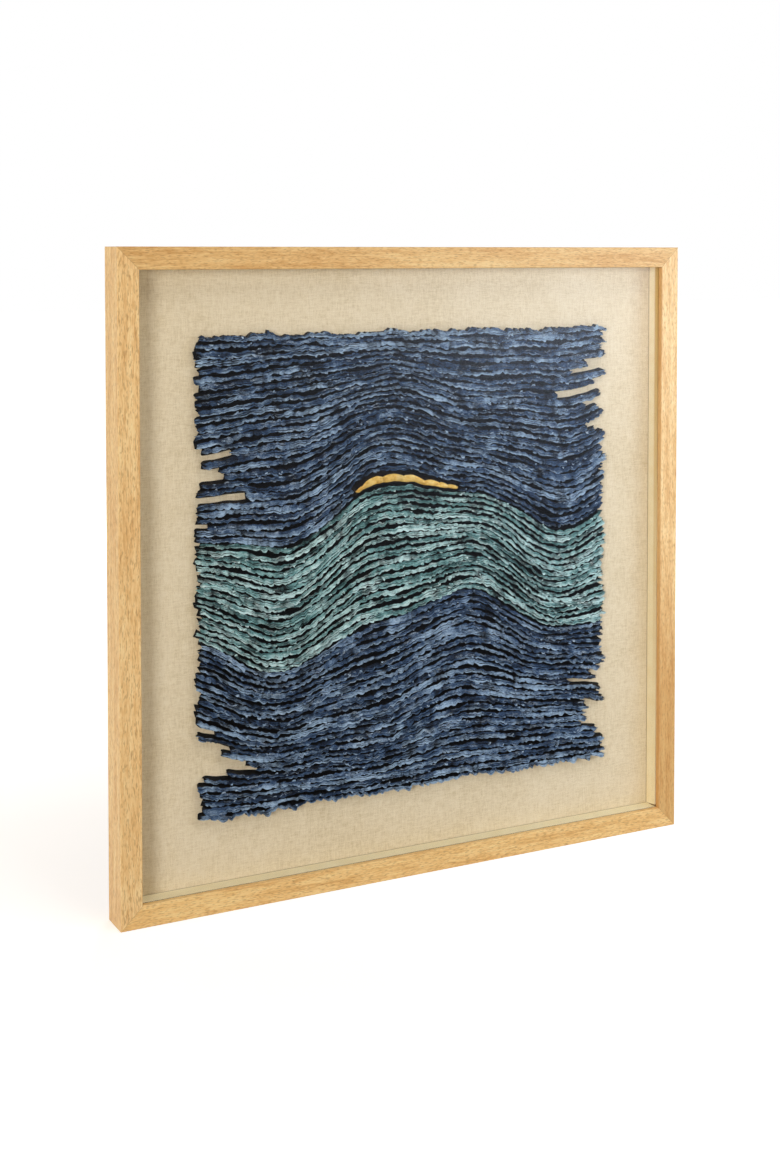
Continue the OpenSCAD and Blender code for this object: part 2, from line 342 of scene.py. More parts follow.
@dataclass(frozen=True)
class RailWood:
    """Pale waxed wood with straight grain, short pores, a fine mitre line and painted shade on the
    lips' inner sides.

    A grain is a pair of scales, along the rail and across it. A fade is the stretch over which a
    mark wears off.
    """

    run: GrainRun
    shift: float
    shift_shares: Triple = (1.0, 1.7, 0.6)
    tone: Triple = (1.0, 1.0, 1.0)
    painted_shade_tone: Optional[Triple] = None
    painted_shade_heights: Pair = (190 * MM, 400 * MM)
    pale: Colour = tint(254, 222, 160)
    middle: Colour = tint(246, 204, 138)
    dark: Colour = tint(226, 174, 105)
    stops: Triple = (0.4, 0.5, 0.6)
    pore: Colour = tint(174, 119, 60)
    mitre: Colour = tint(170, 122, 70)
    # Painted shade for the inner sides of the uprights' lips.
    painted_lip_shade: Colour = tint(204, 148, 80)
    half_frame: float = 400 * MM
    half_opening: float = 373 * MM
    band_grain: Pair = (7, 120)
    streak_grain: Pair = (46, 560)
    fibre_grain: Pair = (130, 950)
    pore_grain: Pair = (150, 850)
    figure_weights: Triple = (0.34, 0.38, 0.28)
    pore_fade: Pair = (0.54, 0.66)
    pore_depth: float = 0.8
    mitre_fade: Pair = (0.15 * MM, 0.6 * MM)
    lip_fade: Pair = (0.1 * MM, 0.9 * MM)
    pore_share: float = 0.5
    mitre_share: float = 0.5
    lip_share: float = 0.6
    roughness: Pair = (0.58, 0.44)

    def grain(self, recipe: Recipe, scales: Pair, detail: float, swirl: float = 0.0) -> Socket:
        """Lay a pattern along the rail.

        Args:
            recipe: The recipe that it goes into.
            scales: Its scale along the rail and across it.
            detail: Number of finer layers.
            swirl: How far it strays.

        Returns:
            The pattern.
        """
        length, width = scales
        scale = (length, width, width)
        if self.run is GrainRun.UPRIGHT:
            scale = (width, width, length)
        shift = tuple(self.shift * share for share in self.shift_shares)
        return recipe.noise(scale, detail, distortion=swirl, shift=shift)

    def dyed(self, recipe: Recipe, figure: Socket, tone: Triple) -> Socket:
        """Colour the grain.

        Args:
            recipe: The recipe that it goes into.
            figure: The grain's figure.
            tone: How much of each colour the wood keeps.

        Returns:
            The grain's colour.
        """
        colours = [
            tuple(part * share for part, share in zip(colour, tone)) + (1.0,)
            for colour in (self.dark, self.middle, self.pale)
        ]
        return recipe.ramp(figure, self.stops, colours)

    def joints(self, recipe: Recipe) -> tuple[Socket, Socket]:
        """Mark the corner joint, where a rail's end meets the next, and the lip's inner side.

        Args:
            recipe: The recipe that they go into.

        Returns:
            A mark that is strongest on the joint, and one that is strongest on the lip's side, where
            shade is painted.
        """
        aside = recipe.count("ABSOLUTE", recipe.along("X"))
        height = recipe.count("SUBTRACT", recipe.along("Z"), self.half_frame)
        upright = recipe.count("ABSOLUTE", height)
        apart = recipe.count("ABSOLUTE", recipe.count("SUBTRACT", aside, upright))
        inside = recipe.count("SUBTRACT", recipe.count("MAXIMUM", aside, upright), self.half_opening)
        return (
            recipe.span(apart, *self.mitre_fade, self.mitre_share, 0.0),
            recipe.span(inside, *self.lip_fade, self.lip_share, 0.0),
        )

    def material(self) -> Material:
        """Mix the wood."""
        recipe = Recipe(f"rail_wood_{self.run.value}_{self.shift:g}")
        band = self.grain(recipe, self.band_grain, detail=3, swirl=0.35)
        streak = self.grain(recipe, self.streak_grain, detail=4)
        fibre = self.grain(recipe, self.fibre_grain, detail=3)
        dash = self.grain(recipe, self.pore_grain, detail=1)
        figure = recipe.total(*zip((band, streak, fibre), self.figure_weights))
        wood = self.dyed(recipe, figure, self.tone)
        # Painted shade: the rail darkens towards its foot.
        if self.painted_shade_tone:
            low = recipe.span(recipe.along("Z"), *self.painted_shade_heights, 1.0, 0.0)
            wood = recipe.blend(low, wood, self.dyed(recipe, figure, self.painted_shade_tone))
        pores = recipe.span(dash, *self.pore_fade, 0.0, self.pore_share)
        joint, lip = self.joints(recipe)
        wood = recipe.blend(pores, wood, self.pore)
        wood = recipe.blend(joint, wood, self.mitre)
        if self.run is GrainRun.UPRIGHT:
            # The inner sides of the two uprights' lips get painted shade.
            wood = recipe.blend(lip, wood, self.painted_lip_shade)
        relief = recipe.total((fibre, 1.0), (pores, -self.pore_depth))
        return recipe.surface(
            Base_Color=wood,
            Roughness=recipe.span(fibre, *CLOUD, *self.roughness),
            Normal=recipe.bump(relief, strength=0.25, distance=0.15 * MM),
            Coat_Weight=0.06,
            Coat_Roughness=0.3,
        )


@dataclass(frozen=True)
class ClearGlass:
    """Low glare picture glass, with a faint veil where a lamp shines in it."""

    head_on: float = 0.02
    steepness: float = 5.0
    cloud: Triple = (7, 7, 7)
    smears: Pair = (0.31, 0.37)

    def material(self) -> Material:
        """Mix the glass."""
        recipe = Recipe("clear_glass")
        cloud = recipe.noise(self.cloud, detail=2)
        gloss = recipe.node("ShaderNodeBsdfGlossy")
        recipe.fill(gloss, Roughness=recipe.span(cloud, *CLOUD, *self.smears))
        through = recipe.node("ShaderNodeBsdfTransparent")
        slant = recipe.node("ShaderNodeLayerWeight").outputs["Facing"]
        glance = recipe.count("POWER", slant, self.steepness)
        shine = recipe.span(glance, 0.0, 1.0, self.head_on, 1.0)
        recipe.layers(shine, through.outputs["BSDF"], gloss.outputs["BSDF"])
        return recipe.material


@dataclass(frozen=True)
class Card:
    """Pressed card or fibre board, mottled and faintly fibrous.

    Heights and depths are places in the shared frame, from where a mark begins to where it ends.
    """

    name: str
    pale: Colour
    dark: Colour
    grit: float
    roughness: float
    mottle: float = 45.0
    fibre: float = 900.0
    stops: Pair = (0.36, 0.64)
    uneven: float = 0.06
    # A darker colour towards the glass, more of it higher up the card.
    darker_front: Optional[Colour] = None
    darker_front_shares: Pair = (0.0, 0.0)
    darker_front_heights: Pair = (150 * MM, 740 * MM)
    darker_front_depths: Pair = (-8 * MM, -5 * MM)
    # Painted shadow along the card's edge where it meets the linen.
    contact_shadow_depths: Pair = (5.8 * MM, 6.8 * MM)
    contact_shadow_share: float = 0.8
    contact_shadow_colour: Colour = tint(140, 112, 68)
    depths: Pair = (-13.5 * MM, 7.5 * MM)
    foot: float = 27 * MM
    # A painted shadow wedge at the foot, standing in for a gap.
    gap_shadow_rise: float = 0.0
    gap_shadow_fade: Pair = (-0.4 * MM, 0.2 * MM)
    gap_shadow_share: float = 0.9
    gap_shadow_colour: Colour = tint(112, 78, 38)

    def age(self, recipe: Recipe, colour: Socket) -> Socket:
        """Darken the card towards the glass, paint shade where it meets the linen, and paint a
        shadow wedge at its foot, taller towards the glass.

        Args:
            recipe: The recipe that the marks go into.
            colour: The new card's colour.

        Returns:
            The darkened card's colour.
        """
        depth, height = recipe.along("Y"), recipe.along("Z")
        front = recipe.span(depth, *self.darker_front_depths, 1.0, 0.0)
        share = recipe.span(height, *self.darker_front_heights, *self.darker_front_shares)
        # Darker towards the glass, more so higher up the card.
        colour = recipe.blend(recipe.count("MULTIPLY", front, share), colour, self.darker_front)
        # Painted shadow where the card meets the linen.
        line = recipe.span(depth, *self.contact_shadow_depths, 0.0, self.contact_shadow_share)
        colour = recipe.blend(line, colour, self.contact_shadow_colour)
        if not self.gap_shadow_rise:
            return colour
        # Painted shadow wedge at the foot, taller towards the glass.
        lift = recipe.span(depth, *self.depths, self.gap_shadow_rise, 0.0)
        above = recipe.count("SUBTRACT", recipe.count("SUBTRACT", height, self.foot), lift)
        gap = recipe.span(above, *self.gap_shadow_fade, self.gap_shadow_share, 0.0)
        return recipe.blend(gap, colour, self.gap_shadow_colour)

    def material(self) -> Material:
        """Mix the card."""
        recipe = Recipe(self.name)
        mottle = recipe.noise((self.mottle,) * 3, detail=4)
        fibre = recipe.noise((self.fibre,) * 3, detail=3, distortion=0.8)
        tone = recipe.total((mottle, 0.5), (fibre, 0.5))
        colour = recipe.ramp(tone, self.stops, (self.dark, self.pale))
        if self.darker_front:
            colour = self.age(recipe, colour)
        smooth, rough = self.roughness - self.uneven, self.roughness + self.uneven
        return recipe.surface(
            Base_Color=colour,
            Roughness=recipe.span(fibre, *CLOUD, smooth, rough),
            Normal=recipe.bump(fibre, self.grit, distance=0.12 * MM),
            Specular_IOR_Level=0.3,
        )


@dataclass(frozen=True)
class PlatedSteel:
    """Zinc plated steel, softly spangled and brushed."""

    name: str = "steel"
    pale: Colour = tint(196, 198, 200)
    dark: Colour = tint(138, 140, 144)
    stops: Pair = (0.34, 0.66)
    spangle: Triple = (260, 260, 260)
    brush: Triple = (1800, 200, 200)
    roughness: Pair = (0.28, 0.46)

    def material(self) -> Material:
        """Mix the plating."""
        recipe = Recipe(self.name)
        spangle = recipe.noise(self.spangle, detail=3, distortion=0.6)
        brush = recipe.noise(self.brush, detail=2)
        return recipe.surface(
            Base_Color=recipe.ramp(spangle, self.stops, (self.dark, self.pale)),
            Metallic=0.92,
            Roughness=recipe.span(brush, *CLOUD, *self.roughness),
            Normal=recipe.bump(brush, strength=0.15, distance=0.05 * MM),
        )


@dataclass(frozen=True)
class LinenCloth:
    """Unbleached linen: plain weave with thick and thin threads."""

    pale: Colour = tint(245, 231, 200)
    middle: Colour = tint(235, 218, 182)
    dark: Colour = tint(215, 195, 154)
    stops: Triple = (0.34, 0.47, 0.62)
    thread: float = 1.15 * MM
    stray: float = 1.6
    strays: Triple = (60, 60, 60)
    weft: Triple = (120, 200, 760)
    warp: Triple = (760, 200, 120)
    warp_shift: Triple = (9, 4, 2)
    clouds: Triple = (9, 9, 9)
    tone_weights: Triple = (0.72, 0.12, 0.16)
    slub_height: float = 1.6
    roughness: Pair = (0.92, 0.8)

    def weave(self, recipe: Recipe, axis: str) -> Socket:
        """Lay one set of threads.

        Args:
            recipe: The recipe that they go into.
            axis: The direction that the threads are counted along.

        Returns:
            The threads' rounded backs, 0 to 1.
        """
        drift = recipe.noise(self.strays, detail=2)
        place = recipe.total((recipe.along(axis), 1.0), (drift, self.stray * self.thread))
        turn = recipe.count("MULTIPLY", place, 2 * math.pi / self.thread)
        return recipe.span(recipe.count("SINE", turn), -1.0, 1.0)

    def material(self) -> Material:
        """Mix the cloth."""
        recipe = Recipe("linen")
        weft = recipe.noise(self.weft, detail=3, roughness=0.65)
        warp = recipe.noise(self.warp, detail=3, roughness=0.65, shift=self.warp_shift)
        cloud = recipe.noise(self.clouds, detail=2)
        slubs = recipe.total((weft, 0.5), (warp, 0.5))
        threads = recipe.count("MULTIPLY", self.weave(recipe, "X"), self.weave(recipe, "Z"))
        tone = recipe.total(*zip((slubs, threads, cloud), self.tone_weights))
        relief = recipe.total((threads, 1.0), (slubs, self.slub_height))
        return recipe.surface(
            Base_Color=recipe.ramp(tone, self.stops, (self.dark, self.middle, self.pale)),
            Roughness=recipe.span(threads, 0.0, 1.0, *self.roughness),
            Normal=recipe.bump(relief, strength=0.3, distance=0.25 * MM),
            Sheen_Weight=0.08,
            Specular_IOR_Level=0.15,
        )


class Dye(Enum):
    """The colours that the torn paper was dyed."""

    BLUE = "blue_paper"
    TEAL = "teal_paper"


@dataclass(frozen=True)
class TornPaper:
    """Thick dyed paper: brushed faces, pale torn edges, and near black sides that are partly the
    dark core and partly painted shade in the gaps.
    """

    dye: Dye
    deep: Colour
    middle: Colour
    light: Colour
    frayed: Colour
    # Near black of the sides: partly the paper's dark core, partly painted shade in the gaps.
    gap: Colour
    washes: Triple = (0.32, 0.5, 0.7)
    wash: Triple = (90, 120, 190)
    fibre: Triple = (420, 700, 900)
    crumple: Triple = (330, 330, 330)
    dye_weights: Triple = (0.44, 0.24, 0.36)
    crumple_wear: float = 0.5
    wear_and_shade_fade: Pair = (0.5, 1.05)
    fray_fade: Pair = (0.38, 0.6)
    roughness: Pair = (0.72, 0.5)

    def material(self) -> Material:
        """Mix the paper."""
        recipe = Recipe(self.dye.value)
        face, tone, fray = recipe.marks()
        wash = recipe.noise(self.wash, detail=4, roughness=0.62)
        fibre = recipe.noise(self.fibre, detail=3, roughness=0.6)
        crumple = recipe.noise(self.crumple, detail=3, distortion=0.7)
        strength = recipe.total(*zip((tone, wash, fibre), self.dye_weights))
        dyed = recipe.ramp(strength, self.washes, (self.deep, self.middle, self.light))
        # Where the face mark is low, the sides turn near black: partly dark core, partly painted
        # shade.
        wear_and_shade = recipe.total((face, 1.0), (crumple, self.crumple_wear))
        colour = recipe.blend(recipe.span(wear_and_shade, *self.wear_and_shade_fade), self.gap, dyed)
        edge = recipe.count("MULTIPLY", fray, recipe.span(fibre, *self.fray_fade))
        coarse = recipe.bump(crumple, strength=0.75, distance=0.9 * MM)
        return recipe.surface(
            Base_Color=recipe.blend(edge, colour, self.frayed),
            Roughness=recipe.span(fibre, *CLOUD, *self.roughness),
            Normal=recipe.bump(fibre, strength=0.55, distance=0.35 * MM, under=coarse),
            Specular_IOR_Level=0.22,
        )


@dataclass(frozen=True)
class GoldLeaf:
    """Leaf laid over paper, wrinkled, with a few rubbed places."""

    pale: Colour = tint(255, 222, 138)
    middle: Colour = tint(246, 200, 96)
    rubbed: Colour = tint(206, 150, 62)
    stops: Triple = (0.3, 0.48, 0.7)
    bare: Colour = tint(34, 27, 20)
    bare_fade: Pair = (0.15, 0.4)
    patch: Triple = (85, 85, 140)
    wrinkle: Triple = (300, 300, 520)
    metal: float = 0.35
    roughness: Pair = (0.34, 0.52)

    def material(self) -> Material:
        """Mix the leaf, which leaves the strip's sides bare."""
        recipe = Recipe("gold_leaf")
        laid = recipe.span(recipe.marks()[0], *self.bare_fade)
        patch = recipe.noise(self.patch, detail=4, roughness=0.65)
        wrinkle = recipe.noise(self.wrinkle, detail=4, distortion=1.2)
        colour = recipe.ramp(patch, self.stops, (self.rubbed, self.middle, self.pale))
        return recipe.surface(
            Base_Color=recipe.blend(laid, self.bare, colour),
            Metallic=recipe.count("MULTIPLY", laid, self.metal),
            Roughness=recipe.span(wrinkle, *CLOUD, *self.roughness),
            Normal=recipe.bump(wrinkle, strength=0.4, distance=0.5 * MM),
        )


def dress(node: str, material: Material) -> None:
    """Give a carried-over piece its finish.

    Args:
        node: The piece's name.
        material: The finish.
    """
    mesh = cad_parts[node].data
    mesh.materials.clear()
    mesh.materials.append(material)
    LOG.info("dressed %s in %s", node, material.name)


def add_piece(
    name: str, mesh: bpy.types.Mesh, material: Material, slot: str, *stands_for: str
) -> bpy.types.Object:
    """Put a new piece on the shadow box.

    Args:
        name: The piece's name.
        mesh: Its shape.
        material: Its finish.
        slot: Not used.
        stands_for: The solids that it replaces.

    Returns:
        The piece.
    """
    mesh.materials.append(material)
    piece = bpy.data.objects.new(name, mesh)
    bpy.context.scene.collection.objects.link(piece)
    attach(piece, "root")
    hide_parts(*stands_for)
    LOG.info("made %s from %d faces", name, len(mesh.polygons))
    return piece


def make_mesh(
    name: str, points: np.ndarray, faces: Sequence[np.ndarray], marks: Optional[np.ndarray] = None
) -> bpy.types.Mesh:
    """Make a smooth mesh from arrays.

    Args:
        name: The mesh's name.
        points: Its points, in metres.
        faces: Arrays of faces, each with its own number of corners.
        marks: Three marks a point, for the finish to read.

    Returns:
        The mesh.
    """
    corners = np.concatenate([group.ravel() for group in faces]).astype(np.int32)
    sizes = np.concatenate([np.full(len(group), group.shape[1]) for group in faces])
    starts = np.concatenate([[0], np.cumsum(sizes)[:-1]])
    mesh = bpy.data.meshes.new(name)
    mesh.vertices.add(len(points))
    mesh.vertices.foreach_set("co", points.astype(np.float32).ravel())
    mesh.loops.add(len(corners))
    mesh.loops.foreach_set("vertex_index", corners)
    mesh.polygons.add(len(sizes))
    mesh.polygons.foreach_set("loop_start", starts.astype(np.int32))
    mesh.polygons.foreach_set("use_smooth", np.ones(len(sizes), dtype=bool))
    if marks is not None:
        layer = mesh.attributes.new(TEAR, "FLOAT_COLOR", "POINT")
        cover = np.concatenate([marks, np.ones((len(marks), 1))], axis=1)
        layer.data.foreach_set("color", cover.astype(np.float32).ravel())
    mesh.update(calc_edges=True)
    mesh.validate()
    return mesh


def smooth(share: np.ndarray) -> np.ndarray:
    """Ease a share from 0 to 1 in and out."""
    return share * share * (3 - 2 * share)


class Wander:
    """Seeded smooth chance along a strip."""

    lobe_sizes: Pair = (0.25, 1.0)
    lobe_leans: Pair = (0.7, 1.5)
    notch_sizes: Pair = (0.2, 1.0)
    roundness: float = 0.75

    def __init__(self, seed: int) -> None:
        """Start a strip's own run of chance."""
        self.chance = np.random.default_rng(seed)

    def drift(self, run: np.ndarray, *layers: Pair) -> np.ndarray:
        """Add up smooth swings along a run.

        Args:
            run: Places along the strip, rising.
            layers: The length and the size of each swing.

        Returns:
            The sum at each place.
        """
        total = np.zeros_like(run)
        for length, size in layers:
            steps = (run - run[0]) / length + self.chance.uniform()
            knots = self.chance.uniform(-1, 1, int(steps[-1]) + 3)
            before = steps.astype(int)
            share = smooth(steps - before)
            total += size * (knots[before] * (1 - share) + knots[before + 1] * share)
        return total

    def cuts(self, run: np.ndarray, shortest: float, longest: float, spare: float) -> np.ndarray:
        """Cut a run into lengths.

        Args:
            run: Places along the strip, rising.
            shortest: The shortest length.
            longest: The longest one.
            spare: How far before the run the first length may begin.

        Returns:
            Where the lengths begin, and where the last one ends.
        """
        ends = [run[0] - self.chance.uniform(0, spare)]
        while ends[-1] <= run[-1]:
            ends.append(ends[-1] + self.chance.uniform(shortest, longest))
        return np.array(ends)

    def lengths(self, run: np.ndarray, shortest: float, longest: float, kinds: int) -> np.ndarray:
        """Tear a run into lengths that lie end on end.

        Args:
            run: Places along the strip, rising.
            shortest: The shortest torn length.
            longest: The longest one.
            kinds: How many values each length draws.

        Returns:
            The values, -1 to 1, at each place: one column a kind.
        """
        ends = self.cuts(run, shortest, longest, shortest)
        values = self.chance.uniform(-1, 1, (len(ends), kinds))
        steps = values[np.searchsorted(ends, run, side="right") - 1]
        spread = np.concatenate([steps[:1], steps, steps[-1:]])
        return (spread[:-2] + spread[1:-1] + spread[2:]) / 3

    def lobes(
        self, run: np.ndarray, shortest: float, longest: float, pinch: float
    ) -> tuple[np.ndarray, np.ndarray]:
        """Tear an edge into rounded lobes that meet in sharp notches.

        Args:
            run: Places along the strip, rising.
            shortest: The shortest lobe.
            longest: The longest one.
            pinch: How far a notch reaches to each side.

        Returns:
            How far each place stands out, 0 to 1, and how near it is to a notch, 0 to 1.
        """
        ends = self.cuts(run, shortest, longest, longest)
        at = np.searchsorted(ends, run, side="right") - 1
        size = self.chance.uniform(*self.lobe_sizes, len(ends))[at]
        lean = self.chance.uniform(*self.lobe_leans, len(ends))[at]
        share = ((run - ends[at]) / (ends[at + 1] - ends[at])) ** lean
        near = np.minimum(run - ends[at], ends[at + 1] - run)
        depth = self.chance.uniform(*self.notch_sizes, len(ends))[at]
        notch = np.clip(1 - near / pinch, 0, 1) * depth
        return size * (4 * share * (1 - share)) ** self.roundness, notch


class Crumple:
    """A seeded field that pushes neighbouring strips aside together."""

    side: int = 64
    middle: float = 400 * MM

    def __init__(self, seed: int, cell: Pair, size: float) -> None:
        """Draw the field.

        Args:
            seed: Its own seed.
            cell: Its grain across and up, in metres.
            size: The furthest push, in metres.
        """
        self.cell, self.size = cell, size
        self.knots = np.random.default_rng(seed).uniform(-1, 1, (self.side, self.side))

    def push(self, across: np.ndarray, up: np.ndarray) -> np.ndarray:
        """Read the push at places on the picture.

        Args:
            across: Places across the picture.
            up: Places up it.

        Returns:
            How far each place moves up.
        """
        places = zip((across, up - self.middle), self.cell)
        steps = [axis / cell + self.side // 2 for axis, cell in places]
        column, row = (step.astype(int) for step in steps)
        x, z = smooth(steps[0] - column), smooth(steps[1] - row)
        left = self.knots[column, row] * (1 - z) + self.knots[column, row + 1] * z
        right = self.knots[column + 1, row] * (1 - z) + self.knots[column + 1, row + 1] * z
        return self.size * (left * (1 - x) + right * x)


@dataclass(frozen=True)
class StripBand:
    """The room that one solid strip takes: its edges across the picture, and its depth."""

    stations: np.ndarray
    low: np.ndarray
    high: np.ndarray
    foot: float
    height: float
    outer_low: bool = False
    outer_high: bool = False

    def edge(self, run: np.ndarray, heights: np.ndarray) -> np.ndarray:
        """Follow an edge smoothly through its stations.

        Args:
            run: Places across the picture.
            heights: The edge's heights at the stations.

        Returns:
            The edge's height at each place.
        """
        slopes = np.gradient(heights, self.stations)
        at = np.clip(np.searchsorted(self.stations, run) - 1, 0, len(heights) - 2)
        width = self.stations[at + 1] - self.stations[at]
        share = (run - self.stations[at]) / width
        square, cube = share**2, share**3
        return (
            heights[at] * (2 * cube - 3 * square + 1)
            + slopes[at] * width * (cube - 2 * square + share)
            + heights[at + 1] * (3 * square - 2 * cube)
            + slopes[at + 1] * width * (cube - square)
        )


@dataclass(frozen=True)
class StripReader:
    """Reads where the solid strips stand."""

    digits: int = 5
    narrowest: float = 0.5 * MM

    def solids(self, node: str) -> list[np.ndarray]:
        """Part a node's mesh into its separate solids.

        Args:
            node: The node's name.

        Returns:
            Each solid's points, from the left.
        """
        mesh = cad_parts[node].data
        mesh.calc_loop_triangles()
        points = np.empty(3 * len(mesh.vertices), dtype=np.float32)
        mesh.vertices.foreach_get("co", points)
        corners = np.empty(3 * len(mesh.loop_triangles), dtype=np.int32)
        mesh.loop_triangles.foreach_get("vertices", corners)
        places = np.round(points.reshape(-1, 3).astype(float), self.digits)
        spots, which = np.unique(places, axis=0, return_inverse=True)
        faces = which.ravel()[corners].reshape(-1, 3)
        label = np.arange(len(spots))
        while True:
            lowest = label[faces].min(axis=1)
            joined = label.copy()
            for column in faces.T:
                np.minimum.at(joined, column, lowest)
            if (joined == label).all():
                return [spots[label == mark] for mark in np.unique(label)]
            label = joined

    def bands(self, node: str, blunt: bool) -> list[StripBand]:
        """Read a node's strips.

        Args:
            node: The node's name.
            blunt: Whether a strip keeps its width up to its ends.

        Returns:
            A band for each separate strip, from the left.
        """
        bands = []
        for solid in self.solids(node):
            stations = np.unique(solid[:, 0])
            heights = [solid[solid[:, 0] == x, 2] for x in stations]
            low = np.array([z.min() for z in heights])
            high = np.array([z.max() for z in heights])
            for end, beside in ((0, 1), (-1, -2)) if blunt else ():
                spread = (high[beside] - low[beside] - high[end] + low[end]) / 2
                low[end], high[end] = low[end] - spread, high[end] + spread
            whole = high - low > self.narrowest
            foot = solid[:, 1].max()
            height = foot - solid[:, 1].min()
            bands.append(StripBand(stations[whole], low[whole], high[whole], foot, height))
        return bands


@dataclass(frozen=True)
class TearHabit:
    """How strips of one kind were torn and set, in metres.

    A strip leans: its lower lip stands out and its upper edge tucks in. Two wandering cracks part
    its face into three ridges. Swings are pairs of a length along the strip and a size.
    """

    step: float = 1.7 * MM
    sway: Swings = ((27 * MM, 0.9 * MM), (12 * MM, 0.7 * MM), (6 * MM, 0.35 * MM))
    inset: float = 1.7 * MM
    lean: float = 0.7 * MM
    lobe: float = 2.4 * MM
    lobe_lengths: Pair = (4.5 * MM, 15 * MM)
    notch: float = 1.8 * MM
    tuck: float = 1.9 * MM
    tuck_lobe: float = 1.6 * MM
    swell: Swings = ((34 * MM, 0.8 * MM), (15 * MM, 0.5 * MM))
    rag: Swings = ((6.5 * MM, 0.65 * MM), (3.4 * MM, 0.8 * MM))
    outer_rag: float = 3.4 * MM
    outer_lobe: float = 0.6
    outer_sway: Swings = ((31 * MM, 1.6 * MM), (13 * MM, 1.2 * MM), (5 * MM, 0.7 * MM))
    lip_rise: float = 0.88
    lip_jog: float = 0.7
    least_rise: float = 0.55
    tuck_rise: float = 0.74
    tuck_jog: float = 0.8
    least_tail: float = 0.4
    lift: Swings = ((30 * MM, 0.8 * MM), (10 * MM, 0.8 * MM), (4.6 * MM, 0.45 * MM))
    lumps: Swings = ((8 * MM, 0.55 * MM), (4 * MM, 0.4 * MM))
    stray: Pair = (5 * MM, 0.2 * MM)
    crown: float = 2.2 * MM
    ridge: Swings = ((24 * MM, 1.1 * MM), (7 * MM, 0.6 * MM))
    crack: Swings = ((28 * MM, 2.6 * MM), (9 * MM, 1.8 * MM))
    crack_shares: Pair = (0.36, 0.7)
    crack_strays: Swings = ((22 * MM, 0.1), (7 * MM, 0.06))
    mean_crack: float = 1.3 * MM
    deepest_crack: float = 4.2 * MM
    gape: float = 0.03
    gape_growth: float = 0.07
    curl: float = 1.1 * MM
    lip_curl_level: float = 0.5
    face_curl_level: float = 0.4
    notch_curl: float = 0.9
    jog: float = 0.9 * MM
    shortest: float = 24 * MM
    longest: float = 80 * MM
    tip: float = 4 * MM
    tip_widths: Pair = (0.4, 0.95)
    tip_rag: float = 4 * MM
    tip_waver: float = 0.2
    tip_waver_length: float = 3 * MM
    tip_rise: float = 0.72
    jitter: float = 0.3
    flap_gap: float = 15 * MM
    narrowest: float = 3.0 * MM
    foot_spread: float = 1.9 * MM
    skirt: float = 0.0


@dataclass(frozen=True)
class SideDrop:
    """How a strip's sides drop from its face to the linen: steps in metres, waists in shares."""

    gap: float = 0.1 * MM
    overhang: float = 1.0 * MM
    outer_foot: float = 0.5 * MM
    outer_waist: float = 0.2 * MM
    low_waist: float = 0.42
    high_waist: float = 0.4
    lip_edge: float = 0.3 * MM
    under_lip: Pair = (0.35 * MM, 1.7 * MM)
    under_top: Pair = (0.1 * MM, 1.3 * MM)


@dataclass(frozen=True)
class StripWear:
    """How a strip's dye has worn, and where shade and light are painted on it, by place along it and
    by corner of its section.
    """

    # How far the dye covers each corner; the low values on the sides and at the tuck are partly
    # painted shade.
    cover_and_shade_marks: tuple[float, ...] = (
        0, 0, 0.1, 0.95, 1, 0.95, 1, 0.95, 1, 0.95, 1, 0.95, 0.9, 0.1, 0, 0
    )
    fray_marks: tuple[float, ...] = (
        0, 0, 0, 1, 0.3, 0.7, 0, 0.8, 0.2, 0.6, 0, 0.7, 0.6, 0, 0, 0
    )
    # Painted highlight at the lip and painted shade towards the tuck.
    painted_light_marks: tuple[float, ...] = (
        0, 0, 0, 0.16, 0.14, 0.08, 0, 0.06, 0.02, 0, 0, -0.02, -0.1, 0, 0, 0
    )
    ridge_marks: tuple[int, ...] = (0, 0, 0, 0, 0, 0, 0, 1, 1, 1, 1, 2, 2, 2, 2, 2)
    crack_corners: tuple[int, int] = (6, 10)
    # The crack depth at which the painted shade is darkest.
    crack_shade_depth: float = 1.1 * MM
    face: float = 0.85
    least_face: float = 0.3
    face_swings: Swings = ((17 * MM, 0.3), (6 * MM, 0.25))
    # Painted shade near the notches.
    notch_shade: float = 0.35
    tone: float = 0.5
    tone_spread: float = 0.12
    tone_swings: Swings = ((60 * MM, 0.2), (16 * MM, 0.2), (5 * MM, 0.12))
    ridge_tone: float = 0.15
    fray_swings: Swings = ((14 * MM, 1.0), (5 * MM, 0.7))
    fray_start: float = 0.4

    def marks(
        self,
        run: np.ndarray,
        cracks: np.ndarray,
        notch: np.ndarray,
        habit: TearHabit,
        wander: Wander,
    ) -> np.ndarray:
        """Mark a strip's points for its finish.

        Args:
            run: Places across the picture.
            cracks: How deep each crack is.
            notch: How near each place is to a notch.
            habit: How the strip was torn.
            wander: The strip's own chance.

        Returns:
            Face, tone and fray of each point, by section.
        """
        ridges = list(self.ridge_marks)
        count = max(ridges) + 1
        wear_and_shade = np.clip(self.face + wander.drift(run, *self.face_swings), self.least_face, 1.0)
        # Painted shade near the notches.
        wear_and_shade = wear_and_shade * (1 - self.notch_shade * notch)
        face = wear_and_shade[:, None] * np.array(self.cover_and_shade_marks)
        # Painted shade in the cracks, deeper cracks darker.
        for corner, depth in zip(self.crack_corners, cracks):
            face[:, corner] *= 1 - np.clip(depth / self.crack_shade_depth, 0, 1)
        tone = self.tone + wander.chance.uniform(-self.tone_spread, self.tone_spread)
        tone = tone + wander.drift(run, *self.tone_swings)
        layers = self.ridge_tone * wander.lengths(run, habit.shortest, habit.longest, count)
        # Painted highlight at the lip and painted shade towards the tuck.
        layers = layers[:, ridges] + np.array(self.painted_light_marks)
        frays = [wander.drift(run, *self.fray_swings) - self.fray_start for _ in range(count)]
        fray = np.clip(frays, 0, 1).T[:, ridges] * np.array(self.fray_marks)
        return np.stack([face, np.clip(tone[:, None] + layers, 0, 1), fray], axis=2)


